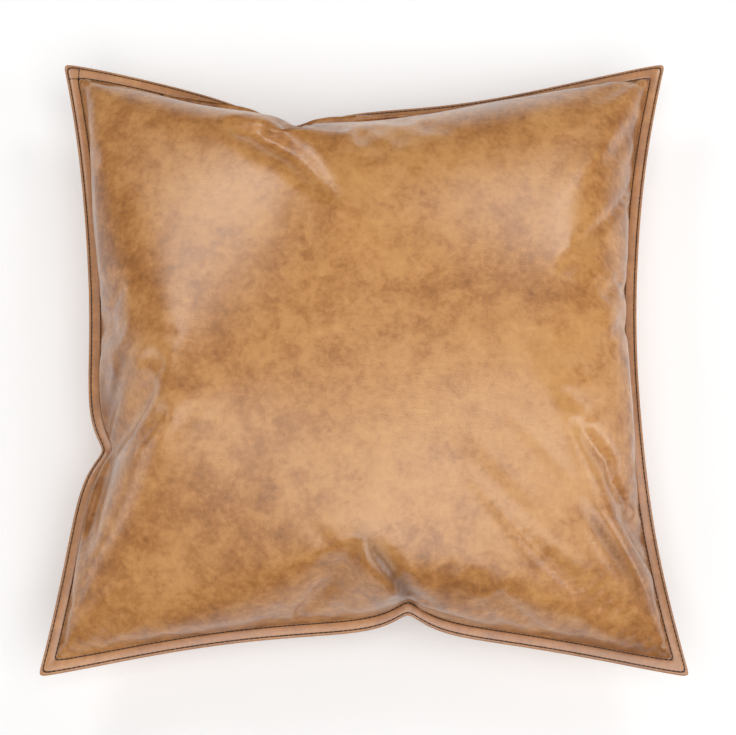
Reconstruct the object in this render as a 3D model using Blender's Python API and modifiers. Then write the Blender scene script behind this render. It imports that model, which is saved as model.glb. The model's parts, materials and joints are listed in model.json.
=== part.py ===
"""A square throw pillow, lying on its back with its front face up.

The cover is faux leather: a front sheet and a two-piece back sheet with a zip. The sheets are
sewn edge to edge, turned, and stitched twice through the flange. Inside is a separate insert, a
fabric shell full of fibre. Metres, +Z up, +Y towards the pillow's top edge. The origin is the
middle of the pillow's footprint, on the surface that it lies on.
"""

from math import cos, pi, radians, sin

import bmesh
import bpy
from mathutils import Matrix, Vector

# Overall size of the stuffed pillow.
CORNER = 0.2235  # middle to a flange corner, along X and along Y
PULL_IN = 0.0275  # how far the middle of a side lies inside the line between its corners
THICKNESS = 0.150
FLANGE_HEIGHT = 0.062  # the flange's middle plane, above the surface below
BACK_SWELL = 0.078  # depth of the back if nothing flattened it
FLATTENING = 0.005  # how softly the back turns into its flat base

# Cover.
LEATHER = 0.0008
GAP = 0.0003  # between pieces that touch
FOLD_SPACE = 0.0002  # inside the turned edge
FLANGE_WIDTH = 0.0093
ALLOWANCE = 0.0090  # how far the turned edge reaches in
OUTER_ROW = 0.0020  # from the flange's edge
INNER_ROW = 0.0086
THREAD = 0.0003  # radius
CORNER_RATIO = 1.28  # a row's corner lies this many times its inset from the flange's corner
FLANGE_HALF = GAP / 2 + 2 * LEATHER + FOLD_SPACE
FOLD_RADIUS = (FLANGE_HALF - GAP / 2) / 2

# Zip, in the back, along the bottom edge. Its own frame has x along the chain, y towards the
# flange and z out of the cover, and its origin is on the leather's outer face.
ZIP_Y = -0.170
ZIP_DROP = 0.0312  # below the flange's middle plane
ZIP_SLOPE = radians(45)
ZIP_V = -ZIP_Y / (CORNER - PULL_IN - FLANGE_WIDTH)
ZIP_HALF = 0.1525  # half the length of the closed chain
SLOT_HALF_LENGTH = 0.1585
SLOT_HALF_WIDTH = 0.0050
BACK_SEAM_HALF = 0.0005  # half the space between the two back sheets beyond the slot
TAPE = 0.0005
TAPE_HALF_WIDTH = 0.0115
CHAIN_SLOT = 0.00045  # half the slot between the two coils
COIL_WIDTH = 0.0030
COIL_HEIGHT = 0.0020
TOOTH_PITCH = 0.0061  # each tooth of the comb stands for four turns of the coil
STOP_LENGTH = 0.0030

# Slider and pull, in the zip's frame.
SLIDER_HALF_LENGTH = 0.0050
SLIDER_HALF_WIDTH = 0.0043
SLIDER_PLATE = 0.0012
SLIDER_REST = ZIP_HALF - SLIDER_HALF_LENGTH - 0.001
PULL_HALF_WIDTH = 0.0035
PULL_LENGTH = 0.0235
PULL_HALF_THICKNESS = 0.0007
PULL_BAR = 0.0006  # half the bar that sits under the slider's bridge
PULL_EYE = 0.0015  # half the width of the pull's hole
PULL_EYE_END = 0.0058

# Insert.
INSERT_FABRIC = 0.0006
INSERT_INSET = 0.017  # of its seam, from the line of the flange's edge
INSERT_RISE = 0.004
INSERT_FLOOR = 0.002  # its base above the surface below
FILL_INSET = 0.023
FILL_RISE = 0.007
FILL_FLOOR = 0.004

PANEL_CELLS = 7  # grid cells from the middle to the seam
INSERT_CELLS = 6

FRONT, BACK = 1, -1

TAPE_TOP = -LEATHER - GAP
COIL_BOTTOM = TAPE_TOP + GAP
COIL_TOP = COIL_BOTTOM + COIL_HEIGHT
TOP_PLATE = COIL_TOP + GAP
BOTTOM_PLATE = TAPE_TOP - TAPE - GAP
PULL_AXIS = TOP_PLATE + SLIDER_PLATE + 0.0011
ZIP_FRAME = Matrix.Translation((0, ZIP_Y, FLANGE_HEIGHT - ZIP_DROP)) @ Matrix.Rotation(
    pi - ZIP_SLOPE, 4, "X"
)
# A flat outline drawn in XY and extruded along Z, stood up across the chain.
ACROSS_CHAIN = Matrix(((0, 0, 1, 0), (1, 0, 0, 0), (0, 1, 0, 0), (0, 0, 0, 1)))

# The cover's rings, from the seam out: inset from the edge, and height off the flange's plane.
RINGS = [
    (FLANGE_WIDTH, FLANGE_HALF),
    (FOLD_RADIUS, FLANGE_HALF),
    (0, FLANGE_HALF - FOLD_RADIUS),
    (FOLD_RADIUS, GAP / 2),
    (ALLOWANCE, GAP / 2),
]


def smoothstep(low, high, value):
    t = min(max((value - low) / (high - low), 0.0), 1.0)
    return t * t * (3 - 2 * t)


def smooth_min(a, b, blend):
    """The smaller of a and b, rounded where they are within blend of each other."""
    h = max(blend - abs(a - b), 0.0) / blend
    return min(a, b) - h * h * blend / 4


# The pillow's form: u and v run from -1 to 1 between the seams.


def corner_at(inset):
    """Distance of a ring's corner from the middle, along X and along Y."""
    return CORNER - CORNER_RATIO * inset


def side_at(inset, along):
    """Distance of a ring's side from the middle, at a place along that side."""
    corner = corner_at(inset)
    pull = PULL_IN - (CORNER_RATIO - 1) * inset
    return corner - pull * (1 - (along / corner) ** 2)


def dome(u, v):
    return (max(1 - u * u, 0.0) * max(1 - v * v, 0.0)) ** 0.55


def stuffed_point(side, u, v, inset=FLANGE_WIDTH, rise=0.0, lip=FLANGE_HALF, floor=0.0):
    """A point of the stuffed form. The layers inside have more inset and rise."""
    if side == FRONT:
        height = (THICKNESS - FLANGE_HEIGHT - FLANGE_HALF - rise) * dome(u, v)
    else:
        swell = (BACK_SWELL - rise) * dome(u, v)
        height = smooth_min(swell, FLANGE_HEIGHT - lip - floor, FLATTENING)
    corner = corner_at(inset)
    return Vector(
        (
            u * side_at(inset, v * corner),
            v * side_at(inset, u * corner),
            FLANGE_HEIGHT + side * (lip + height),
        )
    )


def stations(cells):
    """Grid positions from -1 to 1, closer together towards the seams."""
    return [sin(pi / 2 * k / cells) for k in range(-cells, cells + 1)]


# A cover station is a number from -1 to 1 inside the seam, and 1 + k on ring k outside it.
OUTSIDE = [1 + k for k in range(1, len(RINGS))]


def ring_of(station):
    return round(abs(station)) - 1 if abs(station) > 1 else 0


def flange_along(station, ring):
    """Where a station lies along a side, on that ring."""
    seam = corner_at(FLANGE_WIDTH)
    if abs(station) <= 1:
        return station * seam
    reach = seam + (corner_at(RINGS[ring][0]) - seam) * ring_of(station) / ring
    return reach if station > 0 else -reach


def cover_point(side, a, b):
    """A point of the cover's outer face, inside the seam or on the flange and its turned edge."""
    ring = max(ring_of(a), ring_of(b))
    if ring == 0:
        return stuffed_point(side, a, b)
    inset, height = RINGS[ring]
    if ring_of(a) >= ring_of(b):
        y = flange_along(b, ring)
        x = side_at(inset, y) * (1 if a > 0 else -1)
    else:
        x = flange_along(a, ring)
        y = side_at(inset, x) * (1 if b > 0 else -1)
    return Vector((x, y, FLANGE_HEIGHT + side * height))


def zip_weight(a, along):
    """How firmly the zip holds the back flat at a column's station, from 0 to 1."""
    if along > 0:
        reach = 1 - smoothstep(0.013, 0.030, along)
    else:
        reach = 1 - smoothstep(0.016, 0.070, -along)
    return reach * (1 - smoothstep(0.815, 1.0, abs(a)))


def slot_opening(x):
    return SLOT_HALF_WIDTH if abs(x) <= SLOT_HALF_LENGTH else BACK_SEAM_HALF


def back_point(a, b, hem):
    """A point of the back, flat around the zip. hem is 1 on the strip below the zip, -1 above."""
    point = cover_point(BACK, a, b)
    at_zip = abs(b + ZIP_V) < 1e-9
    if ring_of(a) or ring_of(b):
        if at_zip:
            point.y -= hem * BACK_SEAM_HALF
        return point
    frame_y = ZIP_FRAME.to_3x3() @ Vector((0, 1, 0))
    shift = hem * slot_opening(point.x) if at_zip else 0.0
    along = (stuffed_point(BACK, 0, b) - ZIP_FRAME.translation).dot(frame_y)
    flat = ZIP_FRAME @ Vector((point.x, along + shift, 0))
    weight = zip_weight(a, along) if abs(b) < 1 else 0.0
    return (point + frame_y * shift).lerp(flat, weight)


# Scene helpers.


def finish(name, colour, roughness, metallic=0.0):
    material = bpy.data.materials.new(name)
    material.use_nodes = True
    shader = material.node_tree.nodes["Principled BSDF"]
    shader.inputs["Base Color"].default_value = (*colour, 1)
    shader.inputs["Roughness"].default_value = roughness
    shader.inputs["Metallic"].default_value = metallic
    material.diffuse_color = (*colour, 1)
    return material


def link(obj, collection, material=None, frame=None):
    collection.objects.link(obj)
    if material is not None:
        obj.data.materials.append(material)
    obj.parent = frame
    return obj


def object_from(bm, name, smooth=True):
    mesh = bpy.data.meshes.new(name)
    bm.to_mesh(mesh)
    bm.free()
    if smooth:
        mesh.shade_smooth()
    return bpy.data.objects.new(name, mesh)


def grid_sheet(name, columns, rows, point, flip):
    """An open grid whose vertex at column a and row b lies at point(a, b)."""
    bm = bmesh.new()
    across, along = len(columns) - 1, len(rows) - 1
    bmesh.ops.create_grid(bm, x_segments=across, y_segments=along, size=1.0)
    for vertex in bm.verts:
        column = round((vertex.co.x + 1) / 2 * across)
        row = round((vertex.co.y + 1) / 2 * along)
        vertex.co = point(columns[column], rows[row])
    if flip:
        bmesh.ops.reverse_faces(bm, faces=bm.faces)
    return object_from(bm, name)


def thicken(obj, thickness):
    """A shell inside the sheet's own face."""
    solidify = obj.modifiers.new("thickness", "SOLIDIFY")
    solidify.thickness = thickness
    solidify.offset = -1
    solidify.use_even_offset = True
    return obj


def box(name, low, high):
    size = Vector(high) - Vector(low)
    middle = (Vector(high) + Vector(low)) / 2
    bm = bmesh.new()
    bmesh.ops.create_cube(bm, size=1.0, matrix=Matrix.Translation(middle) @ Matrix.Diagonal((*size, 1)))
    return object_from(bm, name, smooth=False)


def wire(name, points, radius, closed=False):
    """A thread or wire with four sides along straight runs between the points."""
    curve = bpy.data.curves.new(name, "CURVE")
    curve.dimensions = "3D"
    curve.bevel_depth = radius
    curve.bevel_resolution = 0
    curve.use_fill_caps = True
    spline = curve.splines.new("POLY")
    spline.points.add(len(points) - 1)
    for slot, point in zip(spline.points, points):
        slot.co = (*point, 1)
    spline.use_cyclic_u = closed
    return bpy.data.objects.new(name, curve)


def flat_outline(name, loops, half_thickness):
    """A plate from closed outlines in its own XY plane; loops after the first are holes."""
    curve = bpy.data.curves.new(name, "CURVE")
    curve.dimensions = "2D"
    curve.fill_mode = "BOTH"
    curve.extrude = half_thickness
    for loop in loops:
        spline = curve.splines.new("POLY")
        spline.points.add(len(loop) - 1)
        for slot, (x, y) in zip(spline.points, loop):
            slot.co = (x, y, 0, 1)
        spline.use_cyclic_u = True
    return bpy.data.objects.new(name, curve)


def as_mesh(obj, name):
    """The curve object as a closed mesh object in the same place. It takes the curve's place."""
    bpy.context.scene.collection.objects.link(obj)
    bpy.context.view_layer.update()
    evaluated = obj.evaluated_get(bpy.context.evaluated_depsgraph_get())
    mesh = bpy.data.meshes.new_from_object(evaluated)
    bm = bmesh.new()
    bm.from_mesh(mesh)
    bmesh.ops.remove_doubles(bm, verts=bm.verts, dist=1e-6)
    bm.to_mesh(mesh)
    bm.free()
    made = bpy.data.objects.new(name, mesh)
    made.matrix_world = obj.matrix_world.copy()
    bpy.data.objects.remove(obj)
    return made


# The sub-parts.


def front_panel():
    line = [-s for s in reversed(OUTSIDE)] + stations(PANEL_CELLS) + OUTSIDE
    sheet = grid_sheet("front_panel", line, line, lambda a, b: cover_point(FRONT, a, b), False)
    return thicken(sheet, LEATHER)


def back_columns():
    """The panel's stations, with the one near the slot's end moved to either side of it."""
    reach = stuffed_point(BACK, 1, ZIP_V).x
    ends = [(SLOT_HALF_LENGTH - 0.0002) / reach, (SLOT_HALF_LENGTH + 0.002) / reach]
    inside = [s for s in stations(PANEL_CELLS) if abs(abs(s) - ends[0]) > 0.03]
    return sorted(inside + ends + [-s for s in ends])


def hem_rows():
    return [-1, -ZIP_V - 0.045, -ZIP_V]


def main_rows():
    above_zip = [-ZIP_V, -ZIP_V + 0.058]
    return above_zip + [s for s in stations(PANEL_CELLS) if s > above_zip[1] + 0.05]


def back_panel():
    columns = [-s for s in reversed(OUTSIDE)] + back_columns() + OUTSIDE
    rows = main_rows() + OUTSIDE
    sheet = grid_sheet("back_panel", columns, rows, lambda a, b: back_point(a, b, -1), True)
    return thicken(sheet, LEATHER)


def back_hem_panel():
    columns = [-s for s in reversed(OUTSIDE)] + back_columns() + OUTSIDE
    rows = [-s for s in reversed(OUTSIDE)] + hem_rows()
    sheet = grid_sheet("back_hem_panel", columns, rows, lambda a, b: back_point(a, b, 1), True)
    return thicken(sheet, LEATHER)


def flange_stitch(name, side, inset):
    """One row of stitching, a closed loop along all four sides of the flange."""
    corner, seam = corner_at(inset), corner_at(FLANGE_WIDTH)
    height = FLANGE_HEIGHT + side * (FLANGE_HALF + GAP + THREAD)
    if side == FRONT:
        columns = rows = stations(PANEL_CELLS)
    else:
        columns, rows = back_columns(), hem_rows() + main_rows()[1:]
    right = [(side_at(inset, s * seam), s * seam) for s in rows] + [(corner, corner)]
    top = [(s * seam, side_at(inset, s * seam)) for s in reversed(columns)]
    top += [(-corner, corner)]
    left = [(-x, y) for x, y in reversed(right[:-1])] + [(-corner, -corner)]
    bottom = [(x, -y) for x, y in reversed(top[:-1])] + [(corner, -corner)]
    points = [(x, y, height) for x, y in right + top + left + bottom]
    return wire(name, points, THREAD, closed=True)


def zipper_tape(name, side):
    low, high = sorted((side * CHAIN_SLOT, side * TAPE_HALF_WIDTH))
    half_length = ZIP_HALF + STOP_LENGTH + 0.004
    return box(name, (-half_length, low, TAPE_TOP - TAPE), (half_length, high, TAPE_TOP))


def zipper_coil(name, side):
    """Half of the chain: a comb whose back is sewn to the tape."""
    teeth = round(2 * ZIP_HALF / TOOTH_PITCH)
    pitch = 2 * ZIP_HALF / teeth
    tip, root, back = CHAIN_SLOT, CHAIN_SLOT + 0.0011, COIL_WIDTH
    outline = [(-ZIP_HALF, back * side), (ZIP_HALF, back * side)]
    for tooth in reversed(range(teeth)):
        start = -ZIP_HALF + tooth * pitch
        for share, depth in ((1.0, root), (0.75, root), (0.65, tip), (0.1, tip), (0.0, root)):
            outline.append((start + share * pitch, depth * side))
    coil = flat_outline(name, [outline], COIL_HEIGHT / 2)
    coil.location = (0, 0, (COIL_BOTTOM + COIL_TOP) / 2)
    return coil


def zipper_top_stop(name, side):
    low, high = sorted((side * CHAIN_SLOT, side * COIL_WIDTH))
    start = ZIP_HALF + GAP
    return box(name, (start, low, COIL_BOTTOM), (start + STOP_LENGTH, high, COIL_TOP))


def zipper_bottom_stop():
    start = -ZIP_HALF - GAP
    return box(
        "zipper_bottom_stop",
        (start - STOP_LENGTH, -COIL_WIDTH, COIL_BOTTOM),
        (start, COIL_WIDTH, COIL_TOP),
    )


def slider_bridge():
    """The arch on the slider's back that holds the pull, a tool for the slider's union."""
    foot, top, span = TOP_PLATE + SLIDER_PLATE / 2, PULL_AXIS + 0.0019, 0.0034
    points = [(-span, 0, foot), (-span, 0, top - 0.001), (-span + 0.001, 0, top)]
    points += [(-x, y, z) for x, y, z in reversed(points)]
    bridge = wire("slider_bridge", points, 0.0008)
    bridge.data.bevel_resolution = 2
    return as_mesh(bridge, "slider_bridge")


def zipper_slider(cutters, frame):
    """Two plates joined by a thin web that runs in the slot between the coils."""
    wide, wall = SLIDER_HALF_WIDTH, SLIDER_HALF_WIDTH - 0.001
    top, bottom = TOP_PLATE + SLIDER_PLATE, BOTTOM_PLATE - SLIDER_PLATE
    web, skirt = 0.0002, TAPE_TOP + GAP
    right = [(web, BOTTOM_PLATE), (wide, BOTTOM_PLATE), (wide, bottom)]
    half = [(wide, top), (wide, skirt), (wall, skirt), (wall, TOP_PLATE), (web, TOP_PLATE)]
    half += right
    outline = half + [(-x, y) for x, y in reversed(half)]
    body = flat_outline("slider_body", [outline], SLIDER_HALF_LENGTH)
    body.matrix_world = ACROSS_CHAIN
    slider = as_mesh(body, "zipper_slider")
    bridge = link(slider_bridge(), cutters)
    bridge.parent = slider.parent = frame
    bridge.hide_render = True
    bridge.display_type = "WIRE"
    union = slider.modifiers.new("bridge", "BOOLEAN")
    union.operation = "UNION"
    union.object = bridge
    return slider


def zipper_pull_tab():
    """The pull, hanging out from the slider. Its origin is on the bar that it swings on."""
    wide, foot, tip = PULL_HALF_WIDTH, -PULL_BAR, PULL_LENGTH - PULL_BAR
    turns = [pi * k / 10 for k in range(11)]
    outline = [(wide * cos(t), tip - wide + wide * sin(t)) for t in turns]
    outline += [(-wide, foot), (wide, foot)]
    eye = [(-PULL_EYE, PULL_BAR), (PULL_EYE, PULL_BAR)]
    eye += [(PULL_EYE, PULL_EYE_END), (-PULL_EYE, PULL_EYE_END)]
    pull = flat_outline("zipper_pull_tab", [outline, eye], PULL_HALF_THICKNESS)
    pull.matrix_world = ACROSS_CHAIN
    return pull


def zip_stitch(name, side):
    """The row of stitching that holds one tape under the leather."""
    y, z = side * (SLOT_HALF_WIDTH + 0.002), GAP + THREAD
    reach = SLOT_HALF_LENGTH - 0.0015
    return wire(name, [(-reach, y, z), (0, y, z), (reach, y, z)], THREAD)


def zip_bar_tack(name, side):
    """A dense bar of thread across the end of the zip's opening."""
    low, high = sorted((side * (SLOT_HALF_LENGTH + 0.0025), side * (SLOT_HALF_LENGTH + 0.0045)))
    return box(name, (low, -0.0055, GAP), (high, 0.0055, GAP + 0.001))


def back_seam_thread(name, side):
    """The stitching along the back's seam, from the zip's end to the flange."""
    reach = stuffed_point(BACK, 1, ZIP_V).x
    start, end = (SLOT_HALF_LENGTH + 0.007) / reach, 0.985
    steps = 6
    points = []
    for step in range(steps + 1):
        u = side * (start + (end - start) * step / steps)
        here = (back_point(u, -ZIP_V, -1) + back_point(u, -ZIP_V, 1)) / 2
        below = back_point(u, -ZIP_V - 0.02, 1) - back_point(u, -ZIP_V + 0.02, -1)
        beside = back_point(u + 0.01, -ZIP_V, 1) - back_point(u - 0.01, -ZIP_V, 1)
        outward = beside.cross(below).normalized()
        points.append(here + outward * (2 * GAP + THREAD))
    return wire(name, points, THREAD)


def insert_shell(name, side):
    line = stations(INSERT_CELLS)
    lip = GAP / 2 + INSERT_FABRIC
    sheet = grid_sheet(
        name,
        line,
        line,
        lambda a, b: stuffed_point(side, a, b, INSERT_INSET, INSERT_RISE, lip, INSERT_FLOOR),
        side == BACK,
    )
    return thicken(sheet, INSERT_FABRIC)


def insert_seam_thread():
    """The overlocked seam of the insert, a cord of thread round its edge."""
    radius = 0.0006
    inset = INSERT_INSET - radius - 2 * GAP
    corner = corner_at(inset)
    points = []
    for turn in range(4):
        rotation = Matrix.Rotation(turn * pi / 2, 3, "Z")
        for s in stations(INSERT_CELLS)[:-1]:
            here = Vector((side_at(inset, s * corner), s * corner, FLANGE_HEIGHT))
            points.append(rotation @ here)
    return wire("insert_seam_thread", points, radius, closed=True)


def insert_fill():
    """The fibre fill as one closed lens: a front and a back dome that share their rim."""
    line = stations(INSERT_CELLS)
    bm = bmesh.new()
    for side in (FRONT, BACK):
        dome_sheet = grid_sheet(
            "fill_side",
            line,
            line,
            lambda a, b, side=side: stuffed_point(side, a, b, FILL_INSET, FILL_RISE, 0.0, FILL_FLOOR),
            side == BACK,
        )
        bm.from_mesh(dome_sheet.data)
        bpy.data.objects.remove(dome_sheet)
    bmesh.ops.remove_doubles(bm, verts=bm.verts, dist=1e-6)
    return object_from(bm, "insert_fill")


def build():
    for obj in list(bpy.data.objects):
        bpy.data.objects.remove(obj)
    parts = bpy.data.collections.new("throw_pillow")
    cutters = bpy.data.collections.new("cutters")
    for collection in (parts, cutters):
        bpy.context.scene.collection.children.link(collection)

    zip_frame = bpy.data.objects.new("zip_frame", None)
    zip_frame.matrix_world = ZIP_FRAME
    parts.objects.link(zip_frame)
    slider_frame = bpy.data.objects.new("slider_frame", None)
    slider_frame.location = (SLIDER_REST, 0, 0)
    link(slider_frame, parts, frame=zip_frame)
    pull_frame = bpy.data.objects.new("pull_frame", None)
    pull_frame.location = (0, 0, PULL_AXIS)
    link(pull_frame, parts, frame=slider_frame)

    front_leather = finish("front_leather", (0.50, 0.25, 0.09), 0.38)
    back_leather = finish("back_leather", (0.48, 0.24, 0.09), 0.38)
    hem_leather = finish("hem_leather", (0.48, 0.24, 0.09), 0.40)
    thread = finish("thread", (0.05, 0.025, 0.015), 0.7)
    tape = finish("zip_tape", (0.20, 0.10, 0.05), 0.9)
    nylon = finish("zip_nylon", (0.16, 0.08, 0.04), 0.45)
    metal = finish("zip_metal", (0.52, 0.38, 0.20), 0.3, 1.0)
    ticking = finish("insert_ticking", (0.85, 0.84, 0.80), 0.9)
    fibre = finish("fibre_fill", (0.93, 0.93, 0.92), 1.0)

    link(front_panel(), parts, front_leather)
    link(back_panel(), parts, back_leather)
    link(back_hem_panel(), parts, hem_leather)
    for side, word in ((FRONT, "front"), (BACK, "back")):
        link(flange_stitch(f"outer_stitch_{word}", side, OUTER_ROW), parts, thread)
        link(flange_stitch(f"inner_stitch_{word}", side, INNER_ROW), parts, thread)
    for side, word in ((-1, "upper"), (1, "lower")):
        link(zipper_tape(f"zipper_tape_{word}", side), parts, tape, zip_frame)
        link(zipper_coil(f"zipper_coil_{word}", side), parts, nylon, zip_frame)
        link(zipper_top_stop(f"zipper_top_stop_{word}", side), parts, metal, zip_frame)
        link(zip_stitch(f"zip_stitch_{word}", side), parts, thread, zip_frame)
    link(zipper_bottom_stop(), parts, metal, zip_frame)
    link(zipper_slider(cutters, slider_frame), parts, metal, slider_frame)
    link(zipper_pull_tab(), parts, metal, pull_frame)
    for side, word in ((-1, "left"), (1, "right")):
        link(zip_bar_tack(f"zip_bar_tack_{word}", side), parts, thread, zip_frame)
        link(back_seam_thread(f"back_seam_thread_{word}", side), parts, thread)
    link(insert_shell("insert_front_shell", FRONT), parts, ticking)
    link(insert_shell("insert_back_shell", BACK), parts, ticking)
    link(insert_seam_thread(), parts, thread)
    link(insert_fill(), parts, fibre)


build()
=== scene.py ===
"""The looks of the throw pillow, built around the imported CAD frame. Metres, +Z up."""

import json
from math import cos, exp, hypot, pi, radians, sin

import bmesh
import bpy
import numpy as np
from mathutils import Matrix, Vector
from mathutils.bvhtree import BVHTree


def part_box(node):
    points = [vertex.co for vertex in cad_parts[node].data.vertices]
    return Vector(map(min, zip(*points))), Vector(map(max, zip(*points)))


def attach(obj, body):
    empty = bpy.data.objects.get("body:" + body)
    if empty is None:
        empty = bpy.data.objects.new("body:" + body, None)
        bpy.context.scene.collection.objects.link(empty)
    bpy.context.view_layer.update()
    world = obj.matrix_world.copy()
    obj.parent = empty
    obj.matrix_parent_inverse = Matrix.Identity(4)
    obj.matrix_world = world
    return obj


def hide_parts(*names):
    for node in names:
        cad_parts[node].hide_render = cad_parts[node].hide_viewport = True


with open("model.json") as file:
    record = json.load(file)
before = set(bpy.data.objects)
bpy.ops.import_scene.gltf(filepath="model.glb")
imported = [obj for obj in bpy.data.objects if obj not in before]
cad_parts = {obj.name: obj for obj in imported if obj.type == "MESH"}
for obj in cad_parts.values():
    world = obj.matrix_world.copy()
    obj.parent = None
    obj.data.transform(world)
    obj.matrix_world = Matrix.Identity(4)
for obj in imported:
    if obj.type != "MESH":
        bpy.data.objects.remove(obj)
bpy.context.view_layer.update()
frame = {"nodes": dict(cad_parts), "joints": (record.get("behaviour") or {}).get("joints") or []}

# Sizes read from the frame.
FRONT_LOW, FRONT_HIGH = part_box("front_panel")
BACK_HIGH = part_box("back_panel")[1]
CORNER = FRONT_HIGH[0] + 0.0012  # middle to where two of the flange's sides would meet
TOP = FRONT_HIGH[2]
FLANGE_Z = (FRONT_LOW[2] + BACK_HIGH[2]) / 2
JOINTS = {joint["name"]: joint for joint in frame["joints"]}
HINGE = Vector(JOINTS["pull_hinge"]["pos_m"])
ZIP_ACROSS = Vector(JOINTS["pull_hinge"]["axis"]).normalized()  # towards the flange
ZIP_ALONG = Vector((1, 0, 0))
ZIP_OUT = ZIP_ALONG.cross(ZIP_ACROSS)
HINGE_RISE = 0.0038  # of the pull's hinge above the leather
ZIP_ORIGIN = Vector((0, HINGE.y, HINGE.z)) - ZIP_OUT * HINGE_RISE

# Cover, cut flat.
HALF_FLAT = 0.221  # middle to the inner stitch row
FLANGE_WIDTH = 0.0093
FLANGE_HALF = 0.00195
CORNER_RATIO = 1.28
LEATHER = 0.0008
CELLS = 66  # across each sheet in the simulation
ZIP_ROW = 5  # row of the back that lies along the zip
ZIP_FLAT = 0.0316  # from the seam to the zip, over the back
SLOT_HALF = 0.005
SLOT_COLUMNS = 24  # columns either side of the middle that the slot spans
SLOT_HALF_LENGTH = 0.1585
HELD_COLUMNS = 25  # columns either side of the middle that are held along the zip
BACK_BLEND = 0.012  # how softly the back turns into its flat base
BASE_GAP = 0.0003  # between the back's base and the surface below

# Ridges of the front beside its pinches: from and to, seen from above, width, and height.
FOLDS = [
    ((0.031, -0.180), (-0.008, -0.134), 0.0090, 0.0072),
    ((0.150, -0.115), (0.200, -0.180), 0.0080, 0.0030),
    ((-0.181, -0.040), (-0.160, 0.014), 0.0070, 0.0035),
]
TAB = 4  # cells of the fine grid, each way, under which the folded-in corners lie
TAB_HEIGHT = 0.0018
TAB_CREASE = 0.6  # depth of the crease beside them, as a share of their height

# The flange's section on one side, from its foot out, over the edge and back inside: inset from
# the edge, and height above the flange's middle plane. Its two low places take the stitch rows.
SECTION = [
    (0.0092, 0.00190), (0.0089, 0.00176), (0.0086, 0.00168), (0.0083, 0.00178), (0.0078, 0.00198),
    (0.0066, 0.00210), (0.0052, 0.00213), (0.0038, 0.00208), (0.0027, 0.00190), (0.0023, 0.00174),
    (0.0020, 0.00168), (0.0017, 0.00174), (0.0012, 0.00180), (0.0007, 0.00168), (0.0003, 0.00136),
    (0.0000, 0.00096), (0.0003, 0.00050), (0.0009, 0.00018), (0.0040, 0.00014), (0.0084, 0.00014),
]
OUTER_ROW = 0.0020
INNER_ROW = 0.0086
ROW_HEIGHT = 0.00168
OUTER_ROW_LAST = 12  # place in the section after the outer row
HOLE = 0.00022  # depth of a stitch hole
THREAD = 0.00038
STITCH = 0.0031  # length of thread that shows at each stitch
STITCH_SHARE = 0.93  # and the most of a stitch that it may take
DIP = 0.0004  # how far its ends dive
CROSSING = 0.0080  # how far the inner rows run on past the top left corner
CROSSING_RISE = 0.0004
CLEAR = 0.0012  # least space between the flange and leather that bulges over it
OVER_FLANGE = 0.0125  # inset from which the leather has to stay that clear, fading over OVER_FADE
OVER_FADE = 0.004
GROOVE = 0.0008  # depth of the back's seam beyond the zip
SEAM_GAP = 0.0002  # half the gap between the back's two pieces at that seam

# Zip, in its own frame.
CHAIN_HALF = 0.1525
COIL_PITCH = 0.0015
COIL_STEPS = 10
COIL_WIRE = 0.00025
COIL_MIDDLE = 0.00172  # of a coil's section, off the chain's middle line
COIL_REACH = 0.00100
COIL_Z = 0.0002
COIL_RISE = 0.00072
COIL_END = 0.0004  # room for the wire at each end of the chain
TACK_STRANDS = 14
TACK_HALF = 0.0052
TACK_IN = 0.1605
TACK_OUT = 0.1635
TACK_LEAN = 0.0003  # how far each strand leans, to and fro
TACK_RISE = 0.0002
TACK_CELLS = 3  # cells of the fine grid that each bar tack takes beyond the slot
STITCH_ROWS = 2.6  # rows of the fine grid from the zip to the thread that holds its tapes
TAPE_GAP = 0.0002  # between the tapes and the leather over them
TAPE_FADE_ALONG = (0.004, 0.026)  # how far past the tapes' ends the leather stays clear of them
TAPE_FADE_ACROSS = (0.003, 0.020)

# Camera.
CAMERA_TILT = radians(12)  # off the vertical
CAMERA_DISTANCE = 1.160
CAMERA_AIM = (0.0028, -0.0066, 0.062)
CAMERA_LENS, CAMERA_SENSOR = 79, 36  # mm

# Insert: its size in plan and in height as shares of the cover's, the share of the room under the
# cover's folds that it may take, and the gap between its back and the zip's tapes.
SHELL = (0.955, 0.935, 0.9, 0.0005)
FILL = (0.93, 0.90, 0.8, 0.0020)
FOLD_GAP = 0.0015  # least space under the cover's folds
INSERT_SEAM = 0.0165  # inset of the insert's seam from the flange's edge
TICKING = 0.0006  # thickness of the insert's cloth

# Sides, counter-clockwise from the bottom: how far each pulls in, the power of its curve, and
# its pinch: place along the side, depth, width, how far the flange drops there, and how far the
# stuffed front rolls out over it. swell is how far the front rolls out along the whole side.
SIDES = [
    dict(
        depth=0.0280, power=1.25, at=0.0306, pinch=0.0140,
        width=0.017, drop=-0.004, roll=0.0, swell=0.004,
    ),
    dict(
        depth=0.0285, power=1.00, at=0.0, pinch=0.0,
        width=0.017, drop=0.0, roll=0.0, swell=0.005,
    ),
    dict(
        depth=0.0360, power=1.40, at=0.0550, pinch=0.0230,
        width=0.021, drop=0.010, roll=0.012, swell=0.011,
    ),
    dict(
        depth=0.0260, power=1.00, at=0.0666, pinch=0.0139,
        width=0.018, drop=0.006, roll=0.004, swell=0.005,
    ),
]
PINCH_ROUND = 0.004  # radius of the bend at a pinch
CORNER_ROUND = 0.005  # radius of the corners at the flange's edge
FOOT_ROUND = 0.0035294  # the same at the flange's foot
ROLL_REACH = 0.048  # how far along the edge a pinch's roll goes
ROLL_START = (-0.002, 0.010)  # where the roll grows to its full size, in from the flange's foot
ROLL_END = (0.022, 0.115)  # and where it fades out
RIM_REACH = 0.022  # how far in the leather is coloured darker towards the rim
WAVE = 0.0016  # height of the flange's gentle waves
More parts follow.
